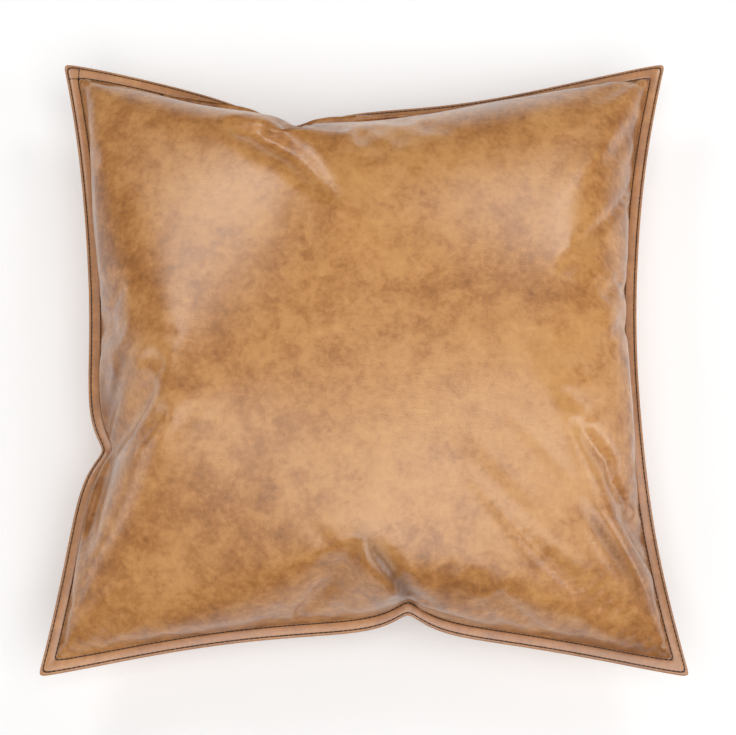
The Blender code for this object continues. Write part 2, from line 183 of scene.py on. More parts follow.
FLAT_NOTCH = 0.5  # share of a pinch's depth that is cut out of the flat sheet

# Cloth.
START_RISE = 0.075  # of each sheet's middle, before the simulation
FLAT_RISE = 0.006  # the same in the flat cut, which keeps the sheets apart
DOME_POWER = 0.55
QUALITY = 6
MASS = 0.15
TENSION = 60
SHEAR = 30
BEND = 2.0
DAMPING = 5
BEND_DAMPING = 0.5
AIR = 2
PRESSURE = 14
SEWING_FRAMES = 15
FRAMES = 60


def corner_at(inset):
    """Middle to where two sides of the loop at that inset would meet."""
    return CORNER - CORNER_RATIO * inset


def pinch_share(side, along):
    """From 0 to 1, how near a place on a side is to its pinch."""
    away = hypot(along - side["at"], PINCH_ROUND) - PINCH_ROUND
    return exp(-away / side["width"])


def side_at(side, inset, along):
    """How far from the middle a side lies, at a place along it."""
    corner = corner_at(inset)
    pull = side["depth"] - (CORNER_RATIO - 1) * inset
    curve = pull * max(1 - (along / corner) ** 2, 0.0) ** side["power"]
    return corner - curve - side["pinch"] * pinch_share(side, along)


def side_stations():
    """For each side, places along it that are evenly spaced over its length, as shares."""
    found = []
    corner = corner_at(FLANGE_WIDTH)
    for side in SIDES:
        along = np.linspace(-corner, corner, 2001)
        across = np.array([side_at(side, FLANGE_WIDTH, a) for a in along])
        length = np.concatenate([[0], np.cumsum(np.hypot(np.diff(along), np.diff(across)))])
        even = np.interp(np.linspace(0, length[-1], CELLS + 1), length, along)
        found.append(even / corner)
    return found


STATIONS = side_stations()


def rounded(x, y, corner, radius):
    """Moves a point of the bottom side in, near its ends, so that the corner is round."""
    away = corner - abs(x)
    if away >= radius:
        return x, y
    t = (1 - away / radius) / 2
    return (x / abs(x)) * (corner - (1 - t) ** 2 * radius), y + t**2 * radius


def edge_point(turn, share, inset, height=0.0):
    """A point of the flange, on one side, at a share along it from -1 to 1."""
    side = SIDES[turn]
    along = share * corner_at(inset)
    across = side_at(side, inset, along)
    wave = sin(5.1 * share + 1.7 * turn) + 0.6 * sin(9.3 * share - 2.3 * turn)
    lift = WAVE * wave * (1 - share**4) - side["drop"] * pinch_share(side, along)
    z = FLANGE_Z + lift + height
    radius = CORNER_ROUND + (FOOT_ROUND - CORNER_ROUND) * inset / FLANGE_WIDTH
    x, y = rounded(along, -across, corner_at(inset), radius)
    for _ in range(turn):
        x, y = -y, x
    return np.array((x, y, z))


def ring(inset, height=0.0, fine=1):
    """The closed loop of points at that inset, counter-clockwise from the bottom left corner."""
    points = []
    for turn, shares in enumerate(STATIONS):
        steps = np.interp(np.arange(CELLS * fine) / fine, np.arange(CELLS + 1), shares)
        points += [edge_point(turn, share, inset, height) for share in steps]
    return np.array(points)


def border_of(n):
    """Grid indices (column, row) of the border, in the order of ring()."""
    loop = [(k, 0) for k in range(n)] + [(n, k) for k in range(n)]
    return loop + [(n - k, n) for k in range(n)] + [(0, n - k) for k in range(n)]


def coons(seam):
    """A plan for the whole sheet from its four border curves, shape (columns, rows, 3)."""
    n = CELLS
    grid = np.zeros((n + 1, n + 1, 3))
    for (i, j), point in zip(border_of(CELLS), seam):
        grid[i, j] = point
    s = np.linspace(0, 1, n + 1)[:, None, None]
    t = np.linspace(0, 1, n + 1)[None, :, None]
    sides = (1 - s) * grid[:1] + s * grid[-1:] + (1 - t) * grid[:, :1] + t * grid[:, -1:]
    corners = (1 - s) * (1 - t) * grid[0, 0] + s * (1 - t) * grid[-1, 0]
    corners = corners + (1 - s) * t * grid[0, -1] + s * t * grid[-1, -1]
    return sides - corners


def back_rows():
    """Flat places of the back's rows, with rows at the zip and at both edges of its slot."""
    rows = np.empty(CELLS + 1)
    low, high = ZIP_ROW - 1, ZIP_ROW + 1
    rows[: low + 1] = np.linspace(-HALF_FLAT, -HALF_FLAT + ZIP_FLAT - SLOT_HALF, low + 1)
    rows[ZIP_ROW] = -HALF_FLAT + ZIP_FLAT
    rows[high:] = np.linspace(-HALF_FLAT + ZIP_FLAT + SLOT_HALF, HALF_FLAT, CELLS + 1 - high)
    return rows


def notches():
    """How far the flat cut is drawn in at the pinches, (columns, rows, 3)."""
    edge = np.zeros((CELLS * 4, 3))
    for turn, (side, shares) in enumerate(zip(SIDES, STATIONS)):
        for k, share in enumerate(shares[:-1]):
            depth = FLAT_NOTCH * side["pinch"] * pinch_share(side, share * corner_at(FLANGE_WIDTH))
            x, y = 0.0, depth
            for _ in range(turn):
                x, y = -y, x
            edge[turn * CELLS + k] = (x, y, 0)
    return coons(edge)


def cover_start():
    """Start and flat positions of both sheets, (2, columns, rows, 3), and which are held."""
    even = np.linspace(-HALF_FLAT, HALF_FLAT, CELLS + 1)
    plan = coons(ring(FLANGE_WIDTH))
    share = np.linspace(-1, 1, CELLS + 1)
    dome = np.clip(np.outer(1 - share**2, 1 - share**2), 0, 1) ** DOME_POWER
    start, flat = np.zeros((2, *plan.shape)), np.zeros((2, *plan.shape))
    held = np.zeros(start.shape[:3], bool)
    for sheet, (sign, rows) in enumerate(((1, even), (-1, back_rows()))):
        start[sheet] = plan
        start[sheet, ..., 2] += sign * START_RISE * dome
        flat[sheet, ..., 0] = even[:, None]
        flat[sheet, ..., 1] = rows[None, :]
        flat[sheet, ..., 2] = FLANGE_Z + sign * FLAT_RISE * dome
        flat[sheet] += notches()
    for i, j in border_of(CELLS):
        held[:, i, j] = True
    middle = CELLS // 2
    for i in range(middle - HELD_COLUMNS, middle + HELD_COLUMNS + 1):
        for j in (ZIP_ROW - 1, ZIP_ROW, ZIP_ROW + 1):
            out = (ZIP_ROW - j) * SLOT_HALF
            along = (i - middle) / SLOT_COLUMNS * SLOT_HALF_LENGTH
            start[1, i, j] = ZIP_ORIGIN + ZIP_ALONG * along + ZIP_ACROSS * out
            held[1, i, j] = True
    return start, flat, held


def sheet_indices():
    """Vertex numbers of both sheets, which share their border: (2, columns, rows)."""
    n = CELLS + 1
    front = np.arange(n * n).reshape(n, n)
    back = front.copy()
    back[1:-1, 1:-1] = n * n + np.arange((n - 2) ** 2).reshape(n - 2, n - 2)
    return np.stack([front, back])


def inflate(start, flat, held, frames):
    """Blows the closed cover up with cloth simulation and returns its sheets' positions."""
    index = sheet_indices()
    count = index.max() + 1
    base, rest = np.zeros((count, 3)), np.zeros((count, 3))
    for sheet in (1, 0):
        base[index[sheet]] = start[sheet]
        rest[index[sheet]] = flat[sheet]
    faces = []
    for sheet in (0, 1):
        k = index[sheet]
        quads = np.stack([k[:-1, :-1], k[1:, :-1], k[1:, 1:], k[:-1, 1:]], -1).reshape(-1, 4)
        faces += (quads if sheet == 0 else quads[:, ::-1]).tolist()
    mesh = bpy.data.meshes.new("bag")
    mesh.from_pydata(rest.tolist(), [], faces)
    bag = bpy.data.objects.new("bag", mesh)
    bpy.context.scene.collection.objects.link(bag)
    bag.shape_key_add(name="Basis")
    sewn = bag.shape_key_add(name="sewn")
    sewn.data.foreach_set("co", base.ravel())
    group = bag.vertex_groups.new(name="held")
    group.add(sorted({int(v) for v in index[held]}), 1.0, "REPLACE")
    cloth = bag.modifiers.new("cloth", "CLOTH")
    settings = cloth.settings
    settings.quality = QUALITY
    settings.mass = MASS
    settings.tension_stiffness = settings.compression_stiffness = TENSION
    settings.shear_stiffness = SHEAR
    settings.bending_stiffness = BEND
    settings.tension_damping = settings.compression_damping = settings.shear_damping = DAMPING
    settings.bending_damping = BEND_DAMPING
    settings.air_damping = AIR
    settings.use_pressure = True
    settings.uniform_pressure_force = PRESSURE
    settings.vertex_group_mass = "held"
    settings.effector_weights.gravity = 0
    cloth.collision_settings.use_collision = False
    scene = bpy.context.scene
    scene.frame_start, scene.frame_end = 1, frames
    cloth.point_cache.frame_start, cloth.point_cache.frame_end = 1, frames
    for number, value in ((1, 0.0), (1 + SEWING_FRAMES, 1.0)):
        sewn.value = value
        sewn.keyframe_insert("value", frame=number)
    for number in range(1, frames + 1):
        scene.frame_set(number)
    evaluated = bag.evaluated_get(bpy.context.evaluated_depsgraph_get())
    places = np.empty(count * 3)
    evaluated.data.vertices.foreach_get("co", places)
    bpy.data.objects.remove(bag)
    bpy.data.meshes.remove(mesh)
    scene.frame_set(1)
    return places.reshape(-1, 3)[index]


# From the simulated sheets to the cover's pieces.


def refined(grid):
    """Twice as many cells both ways, on smooth curves through the grid's points."""
    for axis in (0, 1):
        g = np.moveaxis(grid, axis, 0)
        g = np.concatenate([2 * g[:1] - g[1:2], g, 2 * g[-1:] - g[-2:-1]])
        fine = np.empty((2 * len(g) - 5, *g.shape[1:]))
        fine[::2] = g[1:-1]
        fine[1::2] = (9 * (g[1:-2] + g[2:-1]) - g[:-3] - g[3:]) / 16
        grid = np.moveaxis(fine, 0, axis)
    return grid


def inset_of(x, y):
    """How far each point lies inside the flange's edge, seen from above."""
    found = np.full(np.shape(x), np.inf)
    for turn, side in enumerate(SIDES):
        along, across = ((x, -y), (y, x), (-x, y), (-y, -x))[turn]
        share = np.clip(1 - (along / CORNER) ** 2, 0, 1)
        away = np.hypot(along - side["at"], PINCH_ROUND) - PINCH_ROUND
        edge = CORNER - side["depth"] * share ** side["power"]
        edge = edge - side["pinch"] * np.exp(-away / side["width"])
        found = np.minimum(found, edge - across)
    return found


def smooth_min(a, b, blend):
    """The lesser of the two, rounded off where they are about equal."""
    h = np.maximum(blend - np.abs(a - b), 0) / blend
    return np.minimum(a, b) - h * h * blend / 4


def smoothstep(low, high, value):
    t = np.clip((value - low) / (high - low), 0, 1)
    return t * t * (3 - 2 * t)


def zip_frame(points):
    """Places in the zip's own frame: along the chain, towards the flange, out of the cover."""
    away = points - np.array(ZIP_ORIGIN)
    return [away @ np.array(axis) for axis in (ZIP_ALONG, ZIP_ACROSS, ZIP_OUT)]


def tape_extent():
    """Half length and half width of both tapes together, and their lowest and highest level."""
    spots = []
    for word in ("upper", "lower"):
        tape = frame["nodes"][f"zipper_tape_{word}"]
        spots += [tape.matrix_world @ vertex.co for vertex in tape.data.vertices]
    x, y, z = zip_frame(np.array(spots))
    return abs(x).max(), abs(y).max(), z.min(), z.max()


def clear_tapes(points, gap, outward):
    """Moves points near the zip so that they lie outside the tapes, or inside them, with a gap."""
    length, width, low, high = tape_extent()
    x, y, z = zip_frame(points)
    near = 1 - smoothstep(length + TAPE_FADE_ALONG[0], length + TAPE_FADE_ALONG[1], abs(x))
    near *= 1 - smoothstep(width + TAPE_FADE_ACROSS[0], width + TAPE_FADE_ACROSS[1], abs(y))
    shift = np.maximum(high + gap - z, 0) if outward else np.minimum(low - gap - z, 0)
    points += (shift * near)[..., None] * np.array(ZIP_OUT)


def roll_out(front):
    """Rolls the stuffed front out over the flange, along each side and most at its pinch."""
    n = CELLS + 1
    for turn, side in enumerate(SIDES):
        line = (front[:, 0], front[-1], front[::-1, -1], front[0, ::-1])[turn]
        outward = np.array(((0, -1), (1, 0), (0, 1), (-1, 0))[turn])
        along_axis = np.array(((1, 0), (0, 1), (-1, 0), (0, -1))[turn])
        place = front[..., :2] @ along_axis
        edge = np.interp(place, line[:, :2] @ along_axis, line[:, :2] @ outward)
        inside = edge - front[..., :2] @ outward
        share = np.exp(-(((place - side["at"]) / ROLL_REACH) ** 2))
        shift = side["roll"] * share + side["swell"] * np.clip(1 - (place / CORNER) ** 4, 0, 1)
        shift *= smoothstep(*ROLL_START, inside) * (1 - smoothstep(*ROLL_END, inside))
        shift[[0, n - 1]] = shift[:, [0, n - 1]] = 0
        front[..., :2] += shift[..., None] * outward


def fold(front):
    """Adds the ridges beside the pinches, each steep on its right side, with a dip there.

    Returns from 0 to 1 how far each point lies inside such a dip: its share of painted shade.
    """
    fold_shade = np.zeros(front.shape[:2])
    for start, end, width, height in FOLDS:
        start, end = np.array(start), np.array(end)
        length = np.linalg.norm(end - start)
        way = (end - start) / length
        away = front[..., :2] - start
        along = (away @ way) / length
        across = (away @ np.array((-way[1], way[0]))) / (width * (0.7 + 0.6 * np.clip(along, 0, 1)))
        share = smoothstep(-0.15, 0.20, along) * (1 - smoothstep(0.45, 1.15, along))
        ridge = np.exp(-np.where(across > 0.4, (across - 0.4) / 1.5, (across - 0.4) / 0.75) ** 2)
        profile = ridge - 0.5 * np.exp(-(((across + 0.8) / 0.7) ** 2))
        front[1:-1, 1:-1, 2] += (height * share * profile)[1:-1, 1:-1]
        # The dip on the steep side of each ridge gets painted shade; this is how much.
        inside = share * np.exp(-(((across + 0.35) / 0.6) ** 2)) * min(height / 0.007, 1)
        fold_shade = np.maximum(fold_shade, inside)
    return fold_shade


def corner_tabs(sheet, sign):
    """Lets the bulk of the folded-in corners show through the leather as small raised squares."""
    for corner in (sheet, sheet[::-1], sheet[:, ::-1], sheet[::-1, ::-1]):
        corner[1:TAB, 1:TAB, 2] += sign * TAB_HEIGHT
        corner[TAB, 1 : TAB + 1, 2] -= sign * TAB_HEIGHT * TAB_CREASE
        corner[1:TAB, TAB, 2] -= sign * TAB_HEIGHT * TAB_CREASE


def shaped(sheets):
    """Fits the simulated sheets to the model: full height in front, flat base behind."""
    front, back = sheets.copy()
    rise = front[..., 2] - FLANGE_Z
    front[..., 2] = FLANGE_Z + rise * (TOP - FLANGE_Z - FLANGE_HALF) / rise.max() + FLANGE_HALF
    depth = smooth_min(FLANGE_Z - back[..., 2], FLANGE_Z - FLANGE_HALF - BASE_GAP, BACK_BLEND)
    back[..., 2] = FLANGE_Z - depth - FLANGE_HALF
    roll_out(front)
    for sheet, sign in ((front, 1), (back, -1)):
        over = np.clip((OVER_FLANGE - inset_of(sheet[..., 0], sheet[..., 1])) / OVER_FADE, 0, 1)
        least = FLANGE_HALF + CLEAR * over
        height = (sheet[..., 2] - FLANGE_Z) * sign
        sheet[1:-1, 1:-1, 2] = (FLANGE_Z + sign * np.maximum(height, least))[1:-1, 1:-1]
    fine = [refined(front), refined(back)]
    fold_shade = fold(fine[0])
    clear_tapes(fine[1], LEATHER + TAPE_GAP, True)
    for sheet, sign in zip(fine, (1, -1)):
        corner_tabs(sheet, sign)
        foot = ring(FLANGE_WIDTH, sign * FLANGE_HALF, 2)
        for (i, j), point in zip(border_of(2 * CELLS), foot):
            sheet[i, j] = point
    return fine, fold_shade


def flange_loops(sign):
    """Rings of the flange's surface, twice as fine as the panel's border, with stitch holes."""
    loops = []
    for inset, height in SECTION:
        loop = ring(inset, sign * height, 4)
        if height == ROW_HEIGHT:
            loop[::2, 2] -= sign * HOLE
        loops.append(loop)
    return np.array(loops)


def mesh_object(name, points, faces):
    mesh = bpy.data.meshes.new(name)
    mesh.from_pydata(np.asarray(points).tolist(), [], faces)
    mesh.shade_smooth()
    obj = bpy.data.objects.new(name, mesh)
    bpy.context.scene.collection.objects.link(obj)
    return obj


def cover_faces():
    """Faces of a whole sheet with its flange, and each face's row on the sheet's grid.

    The vertices are the grid's, column by column, and then the loops'.
    """
    n = 2 * CELLS
    k = np.arange((n + 1) ** 2).reshape(n + 1, n + 1)
    quads = np.stack([k[:-1, :-1], k[1:, :-1], k[1:, 1:], k[:-1, 1:]], -1)
    faces = quads.reshape(-1, 4).tolist()
    rows = np.tile(np.arange(n), n).tolist()
    columns = np.repeat(np.arange(n), n).tolist()
    rim = border_of(n)
    turns = len(rim)
    base, count = (n + 1) ** 2, 2 * turns
    side_rows = [min(rim[i][1], rim[(i + 1) % turns][1]) for i in range(turns)]
    for i in range(turns):
        a, b = k[rim[i]], k[rim[(i + 1) % turns]]
        outer = [base + (2 * i + step) % count for step in (0, 1, 2)]
        faces.append([int(a), *outer, int(b)])
        rows.append(side_rows[i])
        columns.append(-1)
    for loop in range(len(SECTION) - 1):
        low, high = base + loop * count, base + (loop + 1) * count
        for i in range(count):
            after = (i + 1) % count
            faces.append([low + i, high + i, high + after, low + after])
            rows.append(side_rows[i // 2])
            columns.append(-1)
    return faces, np.array(rows), np.array(columns)


def panel(name, points, faces, sign, fold_shade=None):
    """A leather piece from some of the sheet's faces, with its thickness on the inside."""
    used, inverse = np.unique(np.concatenate(faces), return_inverse=True)
    renumbered, at = [], 0
    for face in faces:
        renumbered.append(inverse[at : at + len(face)].tolist()[::sign])
        at += len(face)
    obj = mesh_object(name, points[used], renumbered)
    inset = inset_of(points[used, 0], points[used, 1])
    grid_size = (2 * CELLS + 1) ** 2
    rim = np.where(used < grid_size, np.exp(-np.maximum(inset - FLANGE_WIDTH, 0) / RIM_REACH), 1.0)
    # row: painted shade on the leather in the stitch grooves, full on the rows and weaker beside them.
    lows = np.array([height for _, height in SECTION])
    groove_shade_by_loop = np.where(lows == ROW_HEIGHT, 1.0, np.where(lows < ROW_HEIGHT + 0.0001, 0.6, 0.0))
    groove_shade_by_loop[OUTER_ROW_LAST:] = 0
    loop_of = np.clip((used - grid_size) // (8 * 2 * CELLS), 0, len(SECTION) - 1)
    row = np.where(used >= grid_size, groove_shade_by_loop[loop_of], 0.0)
    if fold_shade is None:
        fold_shade = np.zeros(grid_size)
    # crease: painted shade in the dips beside the folds.
    crease = np.where(used < grid_size, fold_shade.ravel()[np.minimum(used, grid_size - 1)], 0.0)
    on_flange = used >= grid_size
    for label, values in (("rim", rim), ("flange", on_flange), ("row", row), ("crease", crease)):
        attribute = obj.data.attributes.new(label, "FLOAT", "POINT")
        attribute.data.foreach_set("value", np.asarray(values, np.float32))
    solidify = obj.modifiers.new("thickness", "SOLIDIFY")
    solidify.thickness = LEATHER
    solidify.offset = -1
    return obj


def cover_panels(fine, fold_shade):
    """The three leather pieces: front, main back and the strip of the back below the zip."""
    faces, rows, columns = cover_faces()
    middle, zip_row = CELLS, 2 * ZIP_ROW
    points = []
    for sheet, sign in zip(fine, (1, -1)):
        points.append(np.concatenate([sheet.reshape(-1, 3), flange_loops(sign).reshape(-1, 3)]))
    front = panel("front_leather", points[0], faces, 1, fold_shade)
    in_slot = (abs(rows - zip_row + 0.5) < 2) & (columns >= middle - 2 * SLOT_COLUMNS)
    in_slot &= columns < middle + 2 * SLOT_COLUMNS
    back = []
    for name, hem in (("back_leather", -1), ("hem_leather", 1)):
        mine = ~in_slot & ((rows >= zip_row) if hem < 0 else (rows < zip_row))
        chosen = [face for face, keep in zip(faces, mine) if keep]
        back.append(panel(name, seam_grooved(points[1], hem), chosen, -1))
    return front, *back


def seam_grooved(points, hem):
    """The back's points with the row along the zip drawn in, and its edge a little off the seam."""
    n = 2 * CELLS + 1
    points = points.copy()
    line = np.arange(n) * n + 2 * ZIP_ROW
    points[line, 2] += GROOVE
    points[line, 1] -= hem * SEAM_GAP
    rim = border_of(n - 1)
    for station, (i, j) in enumerate(rim):
        if j == 2 * ZIP_ROW and i in (0, n - 1):
            loops = n * n + np.arange(len(SECTION)) * 2 * len(rim) + 2 * station
            points[loops, 1] -= hem * SEAM_GAP
    return points


# Thread.


def strands(name, starts, ends, ups, length=STITCH, radius=THREAD, dip=DIP):
    """Short strands of thread, each lying between two places and diving into holes at its ends.

    ups are the ways out of the leather at each strand.
    """
    starts, ends = np.asarray(starts, float), np.asarray(ends, float)
    up = np.asarray(ups, float)
    along = ends - starts
    step = np.linalg.norm(along, axis=1, keepdims=True)
    along = along / step
    up = up - along * (up * along).sum(1, keepdims=True)
    up = up / np.linalg.norm(up, axis=1, keepdims=True)
    across = np.cross(along, up)
    centre = (starts + ends) / 2
    half = np.minimum(length, STITCH_SHARE * step) / 2
    sides, sections = 6, [(-1.0, 0.45), (-0.8, 0.9), (-0.3, 1.0), (0.3, 1.0), (0.8, 0.9), (1.0, 0.45)]
    rings = []
    for t, size in sections:
        middle = centre + along * half * t + up * (radius * 0.5 - dip * abs(t) ** 3)
        for side in range(sides):
            angle = 2 * pi * side / sides
            rings.append(middle + radius * size * (across * cos(angle) + up * sin(angle)))
    points = np.stack(rings, 1)
    per = len(sections) * sides
    faces = []
    for start in range(0, len(points) * per, per):
        faces.append([start + side for side in range(sides)])
        faces.append([start + per - 1 - side for side in range(sides)])
        for k in range(len(sections) - 1):
            low = start + k * sides
            for side in range(sides):
                turn = (side + 1) % sides
                faces.append([low + side, low + sides + side, low + sides + turn, low + turn])
    return mesh_object(name, points.reshape(-1, 3), faces)


def flange_row(name, sign, inset, crosses=False):
    """A row of stitches all round the flange, which may cross over itself at the top left."""
    places = ring(inset, sign * ROW_HEIGHT, 2)
    starts, ends = places, np.roll(places, -1, 0)
    if crosses:
        corner = places[6 * CELLS] + (0, 0, CROSSING_RISE)
        for way in ((-1, 0, 0), (0, 1, 0)):
            run = corner + np.outer(np.linspace(0, CROSSING, 4), way)
            starts, ends = np.concatenate([starts, run[:-1]]), np.concatenate([ends, run[1:]])
    return strands(name, starts, ends, np.tile((0, 0, sign), (len(starts), 1)))


def back_row(back, row, first, last):
    """Places and ways out along a row of the back's fine grid, which may lie between two rows."""
    low = int(row)
    share = row - low
    line = back[first : last + 1, low] * (1 - share) + back[first : last + 1, low + 1] * share
    across = back[first : last + 1, low + 1] - back[first : last + 1, low - 1]
    out = np.cross(across, np.gradient(line, axis=0))
    return line, out / np.linalg.norm(out, axis=1, keepdims=True)


def row_on_back(name, back, row, first, last):
    line, out = back_row(back, row, first, last)
    return strands(name, line[:-1], line[1:], (out[:-1] + out[1:]) / 2)


def zip_point(x, y, z):
    """A point from the zip's own frame: along the chain, towards the flange, out of the cover."""
    return ZIP_ORIGIN + ZIP_ALONG * x + ZIP_ACROSS * y + ZIP_OUT * z


def bar_tack(name, side):
    """A dense bar of thread across the end of the zip's opening."""
    starts, ends = [], []
    for k in range(TACK_STRANDS):
        y = TACK_HALF * (2 * k / (TACK_STRANDS - 1) - 1)
        lean = TACK_LEAN * (-1) ** k
        starts.append(zip_point(side * TACK_IN, y - lean, TACK_RISE))
        ends.append(zip_point(side * TACK_OUT, y + lean, TACK_RISE))
    ups = np.tile(ZIP_OUT, (TACK_STRANDS, 1))
    return strands(name, starts, ends, ups, length=1.0)


def coil(name, side):
    """Half of the zip's chain: a flattened spiral of nylon wire."""
    turns = round(2 * CHAIN_HALF / COIL_PITCH)
    points = []
    for k in range(turns * COIL_STEPS + 1):
        angle = 2 * pi * k / COIL_STEPS
        x = (CHAIN_HALF - COIL_END) * (2 * k / (turns * COIL_STEPS) - 1)
        y = side * (COIL_MIDDLE - COIL_REACH * cos(angle + (side > 0) * pi))
        points.append(zip_point(x, y, COIL_Z + COIL_RISE * sin(angle)))
    curve = bpy.data.curves.new(name, "CURVE")
    curve.dimensions = "3D"
    curve.bevel_depth = COIL_WIRE
    curve.bevel_resolution = 1
    curve.use_fill_caps = True
    spline = curve.splines.new("POLY")
    spline.points.add(len(points) - 1)
    for spot, point in zip(spline.points, points):
        spot.co = (*point, 1)
    spline.use_smooth = True
    obj = bpy.data.objects.new(name, curve)
    bpy.context.scene.collection.objects.link(obj)
    return obj


# Insert, inside the cover and out of sight.


def grid_quads(n):
    """The faces of an n by n grid whose vertices are numbered column by column."""
    k = np.arange(n * n).reshape(n, n)
    return np.stack([k[:-1, :-1], k[1:, :-1], k[1:, 1:], k[:-1, 1:]], -1).reshape(-1, 4)


def shrunk(sheets, plan, height, most, gap):
    """Smaller copies of the sheets, no higher than a share of the room under the cover's folds.

    gap is the space between the back copy and the zip's tapes.
    """
    middle = np.array((0, 0, FLANGE_Z))
    made = []
    for sheet, sign in zip(sheets, (1, -1)):
        quads = grid_quads(sheet.shape[0]).tolist()
        cover = BVHTree.FromPolygons(sheet.reshape(-1, 3).tolist(), quads)
        inner = middle + (sheet - middle) * (plan, plan, height)
        for point in inner.reshape(-1, 3):
            start = Vector((point[0], point[1], FLANGE_Z))
            hit = cover.ray_cast(start, Vector((0, 0, sign)))[0]
            room = max(abs(hit.z - FLANGE_Z) * most - FOLD_GAP, 0.0) if hit else 0.0
            point[2] = FLANGE_Z + sign * min(abs(point[2] - FLANGE_Z), room)
        if sign < 0:
            clear_tapes(inner, gap, False)
        made.append(inner)
    return made


def insert_sheet(name, sheet, flip):
    faces = grid_quads(sheet.shape[0])
    faces = faces[:, ::-1] if flip else faces
    obj = mesh_object(name, sheet.reshape(-1, 3), faces.tolist())
    solidify = obj.modifiers.new("thickness", "SOLIDIFY")
    solidify.thickness = TICKING
    solidify.offset = -1
    return obj


def insert_fill(sheets):
    """The fibre inside the insert: both sheets closed along their shared rim."""
    n = sheets[0].shape[0]
    quads = grid_quads(n)
    points = np.concatenate([sheets[0].reshape(-1, 3), sheets[1].reshape(-1, 3)])
    obj = mesh_object("fibre", points, quads.tolist() + (quads[:, ::-1] + n * n).tolist())
    bm = bmesh.new()
    bm.from_mesh(obj.data)
    bmesh.ops.remove_doubles(bm, verts=bm.verts, dist=1e-5)
    bm.to_mesh(obj.data)
    bm.free()
    obj.data.shade_smooth()
    return obj


# Materials. Every pattern follows the pillow's own coordinates.


class Nodes:
    """A new material's node tree, with its shader."""

    def __init__(self, name, roughness=0.5, metallic=0.0):
        self.material = bpy.data.materials.new(name)
        self.material.use_nodes = True
        self.tree = self.material.node_tree
        self.shader = self.tree.nodes["Principled BSDF"]
        self.shader.inputs["Roughness"].default_value = roughness
        self.shader.inputs["Metallic"].default_value = metallic
        self.place = self.add("TexCoord").outputs["Object"]

    def add(self, kind, inputs=(), **settings):
        node = self.tree.nodes.new("ShaderNode" + kind)
        for key, value in settings.items():
            setattr(node, key, value)
        for key, value in dict(inputs).items():
            self.set(node.inputs[key], value)
        return node

    def set(self, socket, value):
        if isinstance(value, bpy.types.NodeSocket):
            self.tree.links.new(value, socket)
        else:
            socket.default_value = value

    def noise(self, scale, detail=2.0, roughness=0.5, distortion=0.0, at=None):
        inputs = {"Vector": at or self.place, "Scale": scale, "Detail": detail}
        inputs |= {"Roughness": roughness, "Distortion": distortion}
        return self.add("TexNoise", inputs).outputs["Fac"]

    def stretched(self, scale, rotation=(0, 0, 0), location=(0, 0, 0)):
        inputs = {"Vector": self.place, "Scale": scale, "Rotation": rotation, "Location": location}
        return self.add("Mapping", inputs).outputs["Vector"]

    def math(self, operation, a, b=0.0, clamp=False):
        node = self.add("Math", {0: a, 1: b}, operation=operation)
        node.use_clamp = clamp
        return node.outputs[0]

    def span(self, value, low, high, to_low=0.0, to_high=1.0):
        inputs = {"Value": value, "From Min": low, "From Max": high}
        inputs |= {"To Min": to_low, "To Max": to_high}
        return self.add("MapRange", inputs).outputs["Result"]

    def ramp(self, value, stops):
        node = self.add("ValToRGB", {"Fac": value})
        ramp = node.color_ramp
        while len(ramp.elements) < len(stops):
            ramp.elements.new(0.5)
        for element, (position, colour) in zip(ramp.elements, stops):
            element.position = position
            element.color = (*colour, 1)
        return node.outputs["Color"]

    def mix(self, share, a, b, blend="MIX"):
        node = self.add("Mix", data_type="RGBA", blend_type=blend)
        for key, value in (("Factor", share), ("A", a), ("B", b)):
            sockets = [i for i in node.inputs if i.name == key and i.enabled]
            if isinstance(value, tuple):
                value = (*value, 1)
            self.set(sockets[0], value)
        return [o for o in node.outputs if o.enabled][0]

    def attribute(self, name):
        return self.add("Attribute", attribute_name=name).outputs["Fac"]

    def bump(self, height, distance, strength=1.0, under=None):
        inputs = {"Height": height, "Distance": distance, "Strength": strength}
        if under is not None:
            inputs["Normal"] = under
        return self.add("Bump", inputs).outputs["Normal"]

    def shade(self, **sockets):
        for key, value in sockets.items():
            name = key.replace("_", " ")
            if isinstance(value, tuple):
                value = (*value, 1)
            self.set(self.shader.inputs[name], value)
        return self.material


